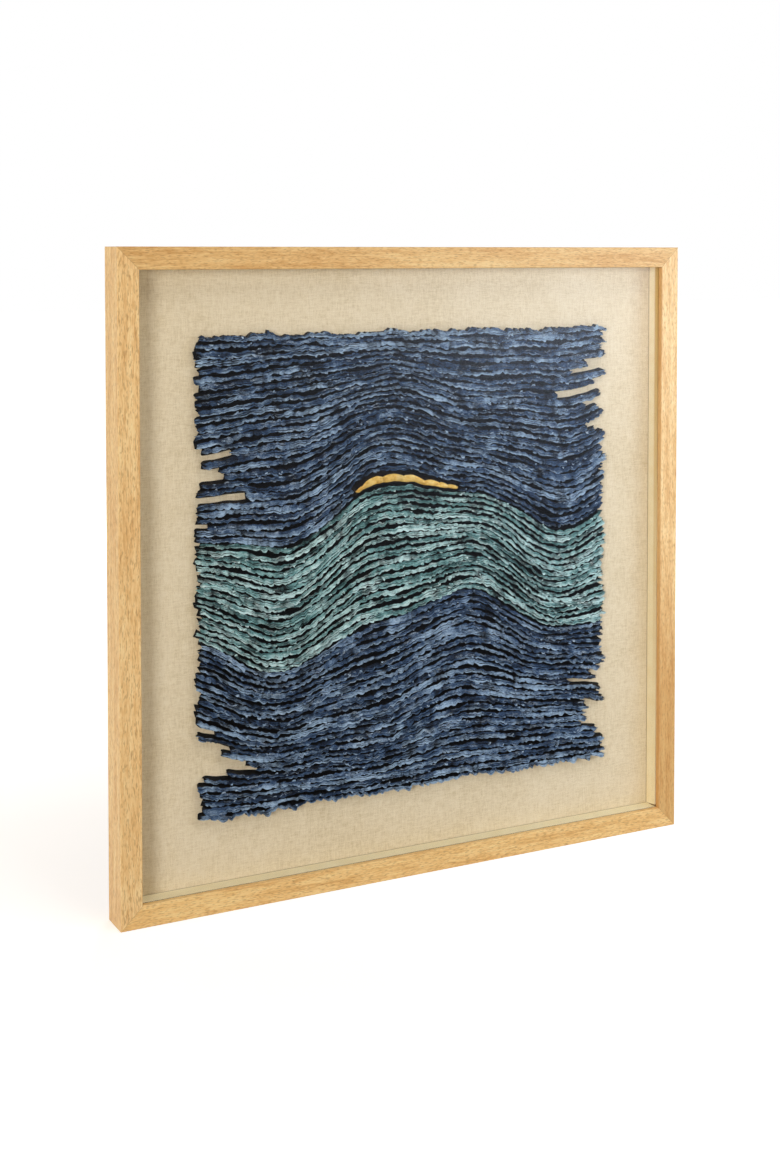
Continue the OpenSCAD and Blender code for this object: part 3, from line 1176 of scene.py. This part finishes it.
@dataclass(frozen=True)
class Flaps:
    """Small torn flaps that bend out of a strip's face: ranges of sizes in metres, and of marks.

    The outline gives each corner's share of the spread, the sink, the lift and the reach.
    """

    spread: Pair = (1.2 * MM, 3.2 * MM)
    reach: Pair = (0.8 * MM, 2.2 * MM)
    ways: tuple[int, ...] = (-1, -1, 1)
    lift: Pair = (0.2 * MM, 1.3 * MM)
    sink: float = 0.5 * MM
    thick: float = 0.35 * MM
    slant: float = 0.3
    margin: int = 3
    corners: tuple[int, int] = (3, 13)
    tone: Pair = (0.35, 1.0)
    fray: Pair = (-0.5, 0.9)
    outline: tuple[tuple[float, ...], ...] = (
        (-1, 1, 0, -0.3),
        (1, 1, 0, -0.2),
        (0.6, 0, -0.6, 1),
        (-0.5, 0, -1, 0.8),
    )
    sides: tuple[tuple[int, ...], ...] = (
        (0, 1, 2, 3),
        (7, 6, 5, 4),
        (0, 4, 5, 1),
        (1, 5, 6, 2),
        (2, 6, 7, 3),
        (3, 7, 4, 0),
    )

    def bend(
        self, points: np.ndarray, habit: TearHabit, chance: np.random.Generator
    ) -> tuple[np.ndarray, np.ndarray, np.ndarray]:
        """Bend flaps out of a strip.

        Args:
            points: The strip's points, by section.
            habit: How it is torn.
            chance: The strip's own chance.

        Returns:
            The flaps' points, their marks and their faces.
        """
        total = max(1, int(len(points) * habit.step / habit.flap_gap))
        ring = chance.integers(self.margin, len(points) - self.margin - 1, total)
        base = points[ring, chance.integers(*self.corners, total)]
        spread = chance.uniform(*self.spread, total)
        reach = chance.uniform(*self.reach, total) * chance.choice(self.ways, total)
        lift = chance.uniform(*self.lift, total)
        front = [
            base + np.stack([aside * spread, down * self.sink + up * lift, out * reach], 1)
            for aside, down, up, out in self.outline
        ]
        back = [corner + np.array([0, self.thick, self.slant * self.thick]) for corner in front]
        shape = np.stack(front + back, axis=1)
        shape[:, :, 1] = np.maximum(shape[:, :, 1], points[:, :, 1].min())
        sides = np.array(self.sides)
        sides = np.where((reach > 0)[:, None, None], sides[None], sides[None, :, ::-1])
        corners = shape.shape[1]
        faces = sides + corners * np.arange(total)[:, None, None]
        tone = np.repeat(chance.uniform(*self.tone, total)[:, None], corners, 1)
        fray = np.clip(chance.uniform(*self.fray, total), 0, 1)
        fray = np.repeat(fray[:, None], corners, 1)
        marks = np.stack([np.ones_like(tone), tone, fray], axis=2)
        return shape.reshape(-1, 3), marks.reshape(-1, 3), faces.reshape(-1, 4)


GILDED = TearHabit(
    step=0.8 * MM,
    sway=((40 * MM, 0.3 * MM),),
    inset=0.9 * MM,
    lean=0.0,
    lobe=0.5 * MM,
    lobe_lengths=(9 * MM, 32 * MM),
    tuck=3.2 * MM,
    tuck_lobe=3.6 * MM,
    swell=((30 * MM, 0.2 * MM),),
    rag=((9 * MM, 0.3 * MM), (4 * MM, 0.2 * MM)),
    lip_rise=0.94,
    tuck_rise=0.9,
    lift=((14 * MM, 0.4 * MM),),
    lumps=((7 * MM, 0.25 * MM),),
    ridge=(),
    crack=(),
    mean_crack=0.0,
    curl=0.4 * MM,
    jog=0.0,
    tip=5 * MM,
    tip_widths=(0.06, 0.06),
    tip_rag=0.2 * MM,
    tip_waver=0.0,
    flap_gap=0.0,
    foot_spread=5 * MM,
    skirt=7 * MM,
)


@dataclass
class TornStrips:
    """The relief: torn strips of paper that stand on the linen and lean on each other."""

    paper: TearHabit = TearHabit()
    gilded: TearHabit = GILDED
    drop: SideDrop = SideDrop()
    wear: StripWear = StripWear()
    flaps: Flaps = Flaps()
    reader: StripReader = StripReader()
    crease: float = math.radians(38)
    least_gilded: float = 0.72
    least_rings: int = 8
    first_seed: int = 110
    seed_step: int = 10
    gilded_seed: int = 7
    crumples: tuple[Crumple, ...] = (
        Crumple(5, (34 * MM, 30 * MM), 1.5 * MM),
        Crumple(6, (15 * MM, 17 * MM), 0.9 * MM),
    )

    def section(
        self, run: np.ndarray, band: StripBand, habit: TearHabit, wander: Wander
    ) -> FourArrays:
        """Shape a strip's section at each place along it.

        Args:
            run: Places across the picture.
            band: The room that the strip takes.
            habit: How it was torn.
            wander: The strip's own chance.

        Returns:
            Height up the picture and height over the linen of each section's points, how deep
            each crack is, and how near each place is to a notch.
        """
        low, high = band.edge(run, band.low), band.edge(run, band.high)
        torn = wander.lengths(run, habit.shortest, habit.longest, 4) * habit.jog
        sway = wander.drift(run, *habit.sway)
        swell = wander.drift(run, *habit.swell)
        lobe, notch = wander.lobes(run, *habit.lobe_lengths, habit.notch)
        high_lobe, high_notch = wander.lobes(run, *habit.lobe_lengths, habit.notch)
        lean = wander.chance.uniform(-habit.lean, habit.lean)
        lip = low + habit.inset + lean + sway - swell - habit.lobe * lobe + torn[:, 0]
        lip = lip + wander.drift(run, *habit.rag)
        top = high - habit.tuck + sway + swell + habit.tuck_lobe * high_lobe + torn[:, 1]
        top = top + wander.drift(run, *habit.rag)
        fringe = wander.drift(run, *habit.outer_sway)
        if band.outer_low:
            lip = lip + habit.outer_rag * (habit.outer_lobe - lobe) + fringe
        if band.outer_high:
            top = top - habit.outer_rag * (habit.outer_lobe - high_lobe) - fringe
        top = np.maximum(top, lip + habit.narrowest)
        tall = band.height
        rise = tall * habit.lip_rise + wander.drift(run, *habit.lift) + habit.lip_jog * torn[:, 2]
        rise = rise + habit.curl * (lobe - habit.lip_curl_level - notch)
        rise = np.clip(rise, habit.least_rise * tall, tall)
        tail = tall * habit.tuck_rise + wander.drift(run, *habit.lift) + habit.tuck_jog * torn[:, 3]
        tail = np.clip(tail, habit.least_tail * tall, rise)

        def face(share: np.ndarray, lift: np.ndarray) -> tuple[np.ndarray, np.ndarray]:
            """Place a line of points on the strip's leaning face.

            Args:
                share: How far up the face each point lies.
                lift: How far its ridge or crack lifts it.

            Returns:
                Height up the picture and height over the linen.
            """
            level, dip = habit.face_curl_level, habit.notch_curl
            lump = wander.drift(run, *habit.lumps)
            lump = lump + habit.curl * (1 - share) * (lobe - level - dip * notch)
            lump = lump + habit.curl * share * (high_lobe - level - dip * high_notch)
            lump = lump + habit.crown * share * (1 - share)
            shift = wander.drift(run, habit.stray)
            return lip + share * (top - lip) + shift, rise + share * (tail - rise) + lump + lift

        ridges = [wander.drift(run, *habit.ridge) for _ in range(len(habit.crack_shares) + 1)]
        cracks, shares = [], []
        for share in habit.crack_shares:
            depth = habit.mean_crack + wander.drift(run, *habit.crack)
            cracks.append(np.clip(depth, 0.0, habit.deepest_crack))
            shares.append(share + wander.drift(run, *habit.crack_strays))
        lines, before = [], 0.0
        for share, crack, here, after in zip(shares, cracks, ridges, ridges[1:]):
            gape = habit.gape + habit.gape_growth * crack / habit.deepest_crack
            lines.append(face((before + share) / 2, here))
            lines.append(face(share - gape, here))
            lines.append(face(share, (here + after) / 2 - crack))
            lines.append(face(share + gape, after))
            before = share
        drop, flat = self.drop, np.zeros_like(run)
        first, last = low - habit.foot_spread, high + habit.foot_spread
        low_side, high_side = low + drop.gap, np.maximum(high - drop.gap, top - drop.overhang)
        if band.outer_low:
            first, low_side = lip - drop.outer_foot, lip + drop.outer_waist
        if band.outer_high:
            last, high_side = top + drop.outer_foot, top - drop.outer_waist
        bare = [
            (first, flat),
            (low_side, drop.low_waist * rise),
            (lip + drop.under_lip[0], rise - drop.under_lip[1]),
            (lip, rise - drop.lip_edge + ridges[0] / 2),
            *lines,
            (top, tail + ridges[-1] / 2),
            (top + drop.under_top[0], tail - drop.under_top[1]),
            (high_side, drop.high_waist * tail),
            (last, flat),
        ]
        across, over = (np.array(column).T for column in zip(*bare))
        return across, np.minimum(over, tall), np.array(cracks), notch

    def strip(self, band: StripBand, habit: TearHabit, seed: int) -> FourArrays:
        """Tear one strip.

        Args:
            band: The room that the strip takes.
            habit: How it is torn.
            seed: The strip's own seed.

        Returns:
            Its points, their marks, its four-sided faces and its two end faces.
        """
        wander = Wander(seed)
        start, end = band.stations[0], band.stations[-1]
        rings = max(self.least_rings, int((end - start) / habit.step))
        run = np.linspace(start, end, rings)
        across, over, cracks, notch = self.section(run, band, habit, wander)
        corners = across.shape[1]
        from_end = np.minimum(run - start, end - run) / habit.tip
        waver = wander.drift(run, (habit.tip_waver_length, habit.tip_waver))
        ease = np.clip(from_end + waver, 0.0, 1.0)
        # A quarter circle rounds the tip.
        ease = (ease * (2 - ease)) ** 0.5
        middle = ((band.edge(run, band.low) + band.edge(run, band.high)) / 2)[:, None]
        tips = wander.chance.uniform(*habit.tip_widths, 2)
        narrow = np.where(run - start < end - run, tips[0], tips[1])
        narrow = np.repeat((narrow + (1 - narrow) * ease)[:, None], corners, 1)
        if habit.skirt:
            # The foot keeps its width and fills the gap beside the tip.
            narrow[:, [0, -1]] = 1.0
        across = middle + (across - middle) * narrow
        for crumple in self.crumples:
            across = across + crumple.push(run, middle[:, 0])[:, None]
        over = over * (habit.tip_rise + (1 - habit.tip_rise) * ease)[:, None]
        ragged = wander.chance.uniform(-habit.jitter, habit.jitter, (rings, corners)) * habit.step
        teeth = wander.chance.uniform(-1, 1, (2, corners)) * habit.tip_rag
        for away, tooth in zip((run - start, end - run), teeth):
            ragged += np.clip(1 - away / (2 * habit.tip_rag), 0, 1)[:, None] * tooth
        ragged[0, [0, -1]] -= habit.skirt
        ragged[-1, [0, -1]] += habit.skirt
        points = np.stack([run[:, None] + ragged, band.foot - over, across], axis=2)
        marks = self.wear.marks(run, cracks, notch, habit, wander)
        ring, corner = np.meshgrid(np.arange(rings - 1), np.arange(corners), indexing="ij")
        here, after = ring * corners + corner, ring * corners + (corner + 1) % corners
        sides = np.stack([here, here + corners, after + corners, after], axis=2).reshape(-1, 4)
        first = np.arange(corners)
        ends = np.stack([first, first[::-1] + (rings - 1) * corners])
        flat_points, flat_marks = points.reshape(-1, 3), marks.reshape(-1, 3)
        if habit.flap_gap > 0:
            flaps = self.flaps.bend(points, habit, wander.chance)
            sides = np.concatenate([sides, flaps[2] + len(flat_points)])
            flat_points = np.concatenate([flat_points, flaps[0]])
            flat_marks = np.concatenate([flat_marks, flaps[1]])
        return flat_points, flat_marks, sides, ends

    def build(
        self, node: str, bands: list[StripBand], habit: TearHabit, seed: int
    ) -> bpy.types.Mesh:
        """Tear all strips of a node.

        Args:
            node: The node whose solid strips they stand for.
            bands: The room that each strip takes.
            habit: How they are torn.
            seed: The node's own seed.

        Returns:
            One mesh of the strips.
        """
        points, marks, sides, ends, count = [], [], [], [], 0
        for place, band in enumerate(bands):
            strip = self.strip(band, habit, seed + place)
            points.append(strip[0])
            marks.append(strip[1])
            sides.append(strip[2] + count)
            ends.append(strip[3] + count)
            count += len(strip[0])
        faces = [np.concatenate(sides), np.concatenate(ends)]
        mesh = make_mesh(f"{node}_torn", np.concatenate(points), faces, np.concatenate(marks))
        mesh.set_sharp_from_angle(angle=self.crease)
        return mesh

    def tear(self, papers: Sequence[TornPaper]) -> None:
        """Tear and dress the paper strips, and fray the relief's lowest and highest edge.

        Args:
            papers: The paper of each dye.
        """
        nodes = [node for node in sorted(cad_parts) if "_strips_" in node]
        rooms = {node: self.reader.bands(node, True) for node in nodes}
        lowest = min(band.low.min() for bands in rooms.values() for band in bands)
        highest = max(band.high.max() for bands in rooms.values() for band in bands)
        seed = self.first_seed
        for paper in papers:
            material = paper.material()
            for node in nodes:
                if not node.startswith(paper.dye.name.lower()):
                    continue
                bands = [
                    replace(
                        band,
                        outer_low=bool(band.low.min() < lowest + self.paper.outer_rag),
                        outer_high=bool(band.high.max() > highest - self.paper.outer_rag),
                    )
                    for band in rooms[node]
                ]
                mesh = self.build(node, bands, self.paper, seed)
                add_piece(f"{node}_torn", mesh, material, paper.dye.value, node)
                seed += self.seed_step

    def gild(self, leaf: GoldLeaf) -> None:
        """Tear the gilded strip, no narrower than a share of its widest place.

        Args:
            leaf: Its finish.
        """
        bands = []
        for band in self.reader.bands("gold_strip", False):
            width = band.high - band.low
            spare = np.maximum(self.least_gilded * width.max() - width, 0) / 2
            bands.append(replace(band, low=band.low - spare, high=band.high + spare))
        mesh = self.build("gold_strip", bands, self.gilded, self.gilded_seed)
        add_piece("gold_strip_gilded", mesh, leaf.material(), "gold_leaf", "gold_strip")


@dataclass
class Rails:
    """The four mitred rails."""

    # The top rail's darker tone is painted shade.
    top: RailWood = RailWood(GrainRun.ACROSS, 3.1, tone=(0.89, 0.85, 0.76))
    bottom: RailWood = RailWood(GrainRun.ACROSS, 8.4, tone=(1.0, 0.98, 0.88))
    left: RailWood = RailWood(GrainRun.UPRIGHT, 5.7)
    # The right rail gets painted shade towards its foot.
    right: RailWood = RailWood(GrainRun.UPRIGHT, 11.9, painted_shade_tone=(0.78, 0.66, 0.5))

    def make(self) -> None:
        """Dress each rail in wood with its own grain."""
        dress("frame_rail_top", self.top.material())
        dress("frame_rail_bottom", self.bottom.material())
        dress("frame_rail_left", self.left.material())
        dress("frame_rail_right", self.right.material())


SPACER = Card(
    "spacer_card", tint(252, 238, 198), tint(243, 223, 174), 0.25, 0.72, darker_front=tint(206, 166, 88)
)


@dataclass
class Glazing:
    """The pane and the card spacers that hold it off the paper."""

    pane: ClearGlass = ClearGlass()
    card: Card = SPACER
    # The bottom card is a paler copy: painted light on its upward face.
    painted_lit: Card = replace(
        SPACER, name="spacer_card_painted_lit", pale=tint(255, 246, 212), dark=tint(250, 237, 196)
    )
    # The right card is darker towards the glass and has a painted shadow wedge at its foot.
    darker_front: Card = replace(
        SPACER, name="spacer_card_darker_front", darker_front_shares=(0.1, 0.9), gap_shadow_rise=2.6 * MM
    )

    def make(self) -> None:
        """Dress the pane and the spacers."""
        dress("glass_pane", self.pane.material())
        for card, sides in (
            (self.card, ("top", "left")),
            (self.painted_lit, ("bottom",)),
            (self.darker_front, ("right",)),
        ):
            material = card.material()
            for side in sides:
                dress(f"spacer_{side}", material)


@dataclass
class LinenGround:
    """Linen stretched over a board and turned in behind it."""

    threads: int = 96
    half: float = 382.5 * MM
    bottom: float = 17.5 * MM
    front: float = 7.5 * MM
    back: float = 14.1 * MM
    thick: float = 0.8 * MM
    body: float = 0.9
    bend: float = 1.2 * MM
    bend_steps: int = 4
    turn_in: float = 30 * MM
    turn_steps: int = 4
    slack: float = 0.04 * MM
    seed: int = 41
    cover: LinenCloth = LinenCloth()
    board: Card = Card("mount_card", tint(226, 218, 200), tint(206, 196, 174), 0.2, 0.8)

    def square(self, half: float) -> np.ndarray:
        """Walk once round a square.

        Args:
            half: Half the square's width.

        Returns:
            Points across and up, from the square's middle.
        """
        steps = np.linspace(-half, half, self.threads + 1)[:-1]
        side = np.full(self.threads, half)
        walk = ((steps, -side), (side, steps), (-steps, side), (-side, -steps))
        return np.concatenate([np.stack(line, 1) for line in walk])

    def folds(self) -> list[Pair]:
        """Give the half width and the depth of each line round the cloth, from its front."""
        half = self.half - self.thick / 2 - self.bend
        front, back = self.front + self.thick / 2, self.back - self.thick / 2
        quarter = np.linspace(0, math.pi / 2, self.bend_steps + 1)
        turns = [(math.sin(turn), math.cos(turn)) for turn in quarter]
        lines = [(half + self.bend * out, front + self.bend - self.bend * on) for out, on in turns]
        lines += [(half + self.bend * on, back - self.bend + self.bend * out) for out, on in turns]
        shares = np.linspace(0, 1, self.turn_steps + 1)[1:]
        return lines + [(half - share * self.turn_in, back) for share in shares]

    def cloth(self) -> bpy.types.Mesh:
        """Fold the cloth round its board: a front, four sides and mitred turn-ins."""
        middle = self.bottom + self.half
        (inner, near), *folds = self.folds()
        line = np.linspace(-inner, inner, self.threads + 1)
        across, up = np.meshgrid(line, line, indexing="ij")
        chance = np.random.default_rng(self.seed)
        waver = chance.uniform(-self.slack, self.slack, across.shape)
        points = [np.stack([across, near + waver, up + middle], 2).reshape(-1, 3)]
        number = np.arange(across.size).reshape(across.shape)
        cells = [number[:-1, :-1], number[1:, :-1], number[1:, 1:], number[:-1, 1:]]
        faces = [np.stack(cells, 2).reshape(-1, 4)]
        sides = [number[:-1, 0], number[-1, :-1], number[:0:-1, -1], number[0, :0:-1]]
        edge, count = np.concatenate(sides), number.size
        for half, depth in folds:
            ring = self.square(half)
            points.append(np.stack([ring[:, 0], np.full(len(ring), depth), ring[:, 1] + middle], 1))
            here = count + np.arange(len(ring))
            faces.append(np.stack([edge, here, np.roll(here, -1), np.roll(edge, -1)], 1))
            edge, count = here, count + len(ring)
        return make_mesh("linen_cloth", np.concatenate(points), faces)

    def make(self) -> None:
        """Dress the board and stretch the linen over it."""
        dress("mount_board", self.board.material())
        cloth = add_piece("linen_cloth", self.cloth(), self.cover.material(), "linen", "linen_cover")
        body = cloth.modifiers.new("thickness", "SOLIDIFY")
        body.thickness = self.body * self.thick
        body.offset = 0


@dataclass
class BackClosure:
    """The back panel, its tabs, the corner nails and the hangers."""

    panel: Card = Card(
        "back_hardboard", tint(152, 114, 78), tint(122, 88, 58), 0.4, 0.68, mottle=210.0
    )
    plating: PlatedSteel = PlatedSteel()
    metal: tuple[str, ...] = (
        "corner_nails",
        "retaining_tabs",
        "hanger_left",
        "hanger_right",
        "hanger_screws",
    )

    def make(self) -> None:
        """Dress the panel and the metal."""
        dress("back_panel", self.panel.material())
        steel = self.plating.material()
        for node in self.metal:
            dress(node, steel)


@dataclass(frozen=True)
class Lamp:
    """One soft lamp: where it stands, what it points at, how big and how bright it is."""

    name: str
    at: Triple
    to: Triple
    size: Pair
    watts: float
    colour: Triple = (1.0, 1.0, 1.0)

    def light(self) -> None:
        """Set the lamp up."""
        data = bpy.data.lights.new(self.name, "AREA")
        data.shape = "RECTANGLE"
        data.size, data.size_y = self.size
        data.energy = self.watts
        data.color = self.colour
        lamp = bpy.data.objects.new(self.name, data)
        lamp.location = self.at
        aim = Vector(self.to) - Vector(self.at)
        lamp.rotation_euler = aim.to_track_quat("-Z", "Y").to_euler()
        bpy.context.scene.collection.objects.link(lamp)
        LOG.info("lit %s", self.name)


KEY = Lamp("key_lamp", (-6.0, -5.6, 1.6), (0.0, 0.0, 0.4), (2.6, 2.6), 352.0, (0.98, 1.0, 1.07))
SIDE = Lamp("side_lamp", (-3.0, 0.4, 0.9), (-0.4, 0.0, 0.4), (1.2, 1.2), 12.5, (1.0, 0.97, 0.86))
WINDOW = Lamp(
    "window_lamp", (0.95, -1.05, 0.74), (0.3, 0.0, 0.55), (0.8, 0.44), 4.0, (0.88, 1.0, 1.24)
)
RIGHT = Lamp("right_lamp", (0.95, -0.45, 0.4), (0.3, 0.0, 0.4), (0.3, 0.6), 0.85, (0.82, 1.0, 1.34))
CORNER = Lamp(
    "corner_lamp", (0.75, -0.55, 0.85), (0.35, 0.0, 0.62), (0.3, 0.3), 0.65, (0.84, 1.0, 1.3)
)
CEILING = Lamp("ceiling_lamp", (0.2, -1.3, 2.4), (0.0, 0.0, 0.2), (1.0, 1.0), 11.5)
BACK = Lamp("back_lamp", (1.6, 2.6, 1.5), (0.0, 0.0, 0.4), (1.4, 1.4), 36.0)


@dataclass
class Studio:
    """White room, soft lamps and a camera that stands low and to the left."""

    image_tall: float = 1170.0
    sight_px: float = 1679.286
    sight_row_px: float = 317.15
    camera_at: Triple = (-1.0191, -1.8770, 0.7929)
    turn: float = 27.6933
    dip: float = 2.2
    sensor: float = 36.0
    clip: Pair = (0.05, 100.0)
    room: float = 0.18
    room_colour: Colour = (1.0, 0.72, 0.36, 1.0)
    mirrored_room: float = 0.05
    backdrop_turn: Pair = (0.0, 0.25)
    floor_size: float = 40.0
    floor_cells: int = 8
    floor_reach: Pair = (0.35, 1.7)
    floor_glows: Pair = (0.6, 1.0)
    floor_colour: Colour = (0.77, 0.77, 0.78, 1.0)
    lamps: tuple[Lamp, ...] = (KEY, SIDE, WINDOW, RIGHT, CORNER, CEILING, BACK)

    def seen(self, recipe: Recipe) -> Socket:
        """Tell sight from light.

        Args:
            recipe: The recipe of the room or the floor.

        Returns:
            1 for a ray of sight, straight or through glass.
        """
        path = recipe.node("ShaderNodeLightPath").outputs
        return recipe.count("MAXIMUM", path["Is Camera Ray"], path["Is Transmission Ray"])

    def world(self) -> None:
        """Light the room evenly and show it white, in gloss too where the backdrop hangs."""
        recipe = RoomRecipe("white_room")
        gloss = recipe.node("ShaderNodeLightPath").outputs["Is Glossy Ray"]
        behind = recipe.span(recipe.along("Y"), *self.backdrop_turn)
        mirrored = recipe.count("MULTIPLY", gloss, behind)
        dim = recipe.span(gloss, 0.0, 1.0, self.room, self.mirrored_room)
        glows = []
        for strength, colour in ((dim, self.room_colour), (1.0, WHITE)):
            glow = recipe.node("ShaderNodeBackground")
            recipe.fill(glow, Strength=strength, Color=colour)
            glows.append(glow.outputs["Background"])
        recipe.layers(recipe.count("MAXIMUM", self.seen(recipe), mirrored), *glows)
        bpy.context.scene.world = recipe.room

    def floor(self) -> None:
        """Lay a pale floor that keeps the shadow and stays out of the low glare glass."""
        recipe = Recipe("pale_floor")
        matt = recipe.node("ShaderNodeBsdfDiffuse")
        recipe.fill(matt, Color=self.floor_colour)
        away = recipe.node("ShaderNodeVectorMath", operation="LENGTH")
        recipe.feed(away.inputs[0], recipe.place)
        shine = recipe.span(away.outputs["Value"], *self.floor_reach, *self.floor_glows)
        glow = recipe.node("ShaderNodeEmission")
        recipe.fill(glow, Strength=recipe.count("MULTIPLY", self.seen(recipe), shine))
        both = recipe.node("ShaderNodeAddShader")
        recipe.feed(both.inputs[0], matt.outputs["BSDF"])
        recipe.feed(both.inputs[1], glow.outputs["Emission"])
        recipe.fill(recipe.output, Surface=both.outputs["Shader"])
        cells = self.floor_cells
        bpy.ops.mesh.primitive_grid_add(
            x_subdivisions=cells, y_subdivisions=cells, size=self.floor_size
        )
        floor = bpy.context.active_object
        floor.name = "pale_floor"
        floor.data.materials.append(recipe.material)
        floor.visible_glossy = False

    def camera(self) -> None:
        """Stand the camera where the picture was taken from."""
        data = bpy.data.cameras.new("camera")
        data.sensor_width = self.sensor
        data.lens = self.sight_px * self.sensor / self.image_tall
        data.shift_y = self.sight_row_px / self.image_tall - 0.5
        data.clip_start, data.clip_end = self.clip
        camera = bpy.data.objects.new("camera", data)
        camera.location = self.camera_at
        camera.rotation_euler = (math.radians(90 - self.dip), 0.0, -math.radians(self.turn))
        bpy.context.scene.collection.objects.link(camera)
        bpy.context.scene.camera = camera

    def make(self) -> None:
        """Set the room up."""
        bpy.context.scene.view_settings.view_transform = "Standard"
        self.camera()
        self.world()
        self.floor()
        for lamp in self.lamps:
            lamp.light()


BLUE = TornPaper(
    Dye.BLUE,
    deep=tint(20, 32, 50),
    middle=tint(63, 88, 119),
    light=tint(164, 190, 212),
    frayed=tint(194, 210, 222),
    gap=tint(6, 7, 10),
)
TEAL = TornPaper(
    Dye.TEAL,
    deep=tint(48, 80, 80),
    middle=tint(116, 163, 161),
    light=tint(204, 234, 230),
    frayed=tint(232, 242, 236),
    gap=tint(7, 10, 11),
    washes=(0.3, 0.48, 0.67),
)


def main() -> None:
    """Dress the shadow box from the studio inwards."""
    logging.basicConfig(level=logging.INFO, format="%(message)s")
    Studio().make()
    Rails().make()
    Glazing().make()
    LinenGround().make()
    strips = TornStrips()
    strips.tear((BLUE, TEAL))
    strips.gild(GoldLeaf())
    BackClosure().make()


if __name__ == "__main__":
    main()
